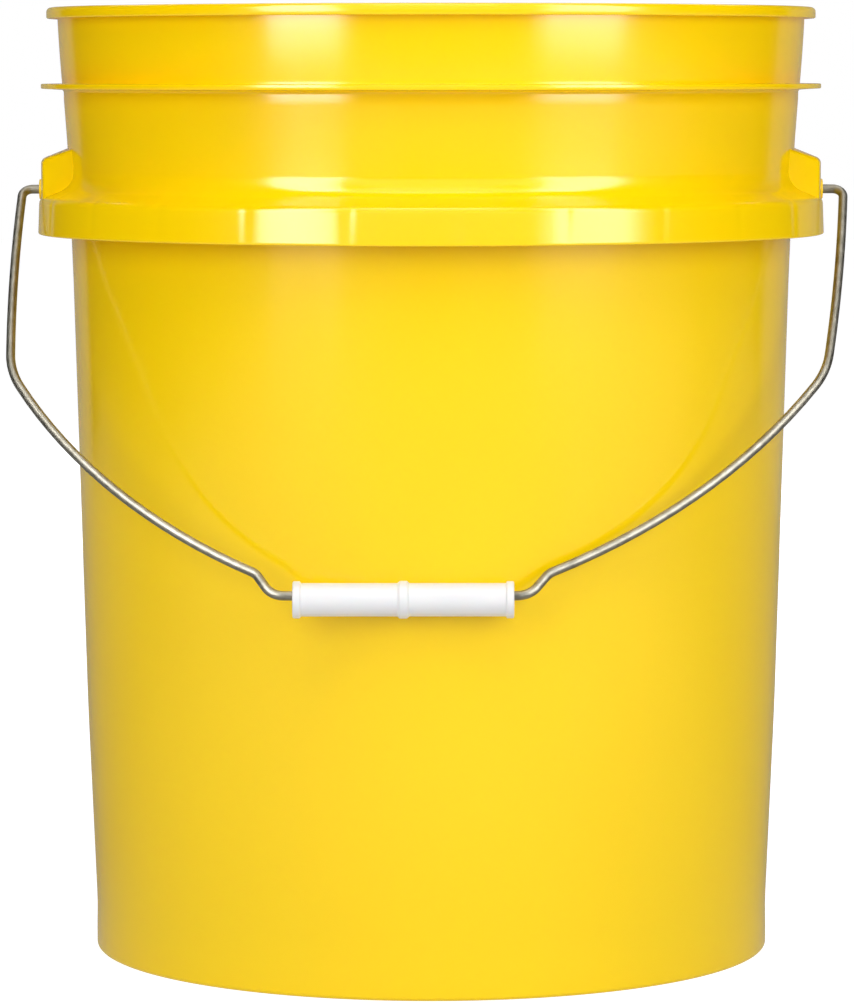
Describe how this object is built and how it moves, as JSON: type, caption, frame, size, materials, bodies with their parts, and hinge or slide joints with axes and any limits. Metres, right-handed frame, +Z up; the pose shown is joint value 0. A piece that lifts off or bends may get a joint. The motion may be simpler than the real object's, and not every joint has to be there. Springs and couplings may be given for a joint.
{
  "type": "wash bucket",
  "caption": "Yellow moulded pail with rim, lid-stop rib and skirt with ears, carried by a swinging wire bail with a white roll grip.",
  "frame": {"origin": "on the ground under the pail's axis, in the plane of the foot ring", "axes": "+Z up along the pail's axis, +X to the right along the bail's pivot line, the bail hangs to the front at -Y"},
  "size_m": [0.3259, 0.3072, 0.3683],
  "materials": {
    "pail_plastic": "satin gloss, as moulded",
    "bail_steel": "zinc plated wire",
    "grip_plastic": "satin, as moulded"
  },
  "bodies": {
    "pail": {"bucket_shell": "pail_plastic"},
    "bail": {"wire_bail": "bail_steel"},
    "grip": {"grip": "grip_plastic"}
  },
  "joints": [
    {"name": "bail_swing", "type": "hinge", "parent": "pail", "child": "bail", "pos_m": [0, 0, 0.2976], "axis": [-1, 0, 0], "range_deg": [0, 271]},
    {"name": "grip_spin", "type": "hinge", "parent": "bail", "child": "grip", "pos_m": [-0.0103, -0.14374, 0.1511], "axis": [1, 0, 0], "continuous": true}
  ]
}
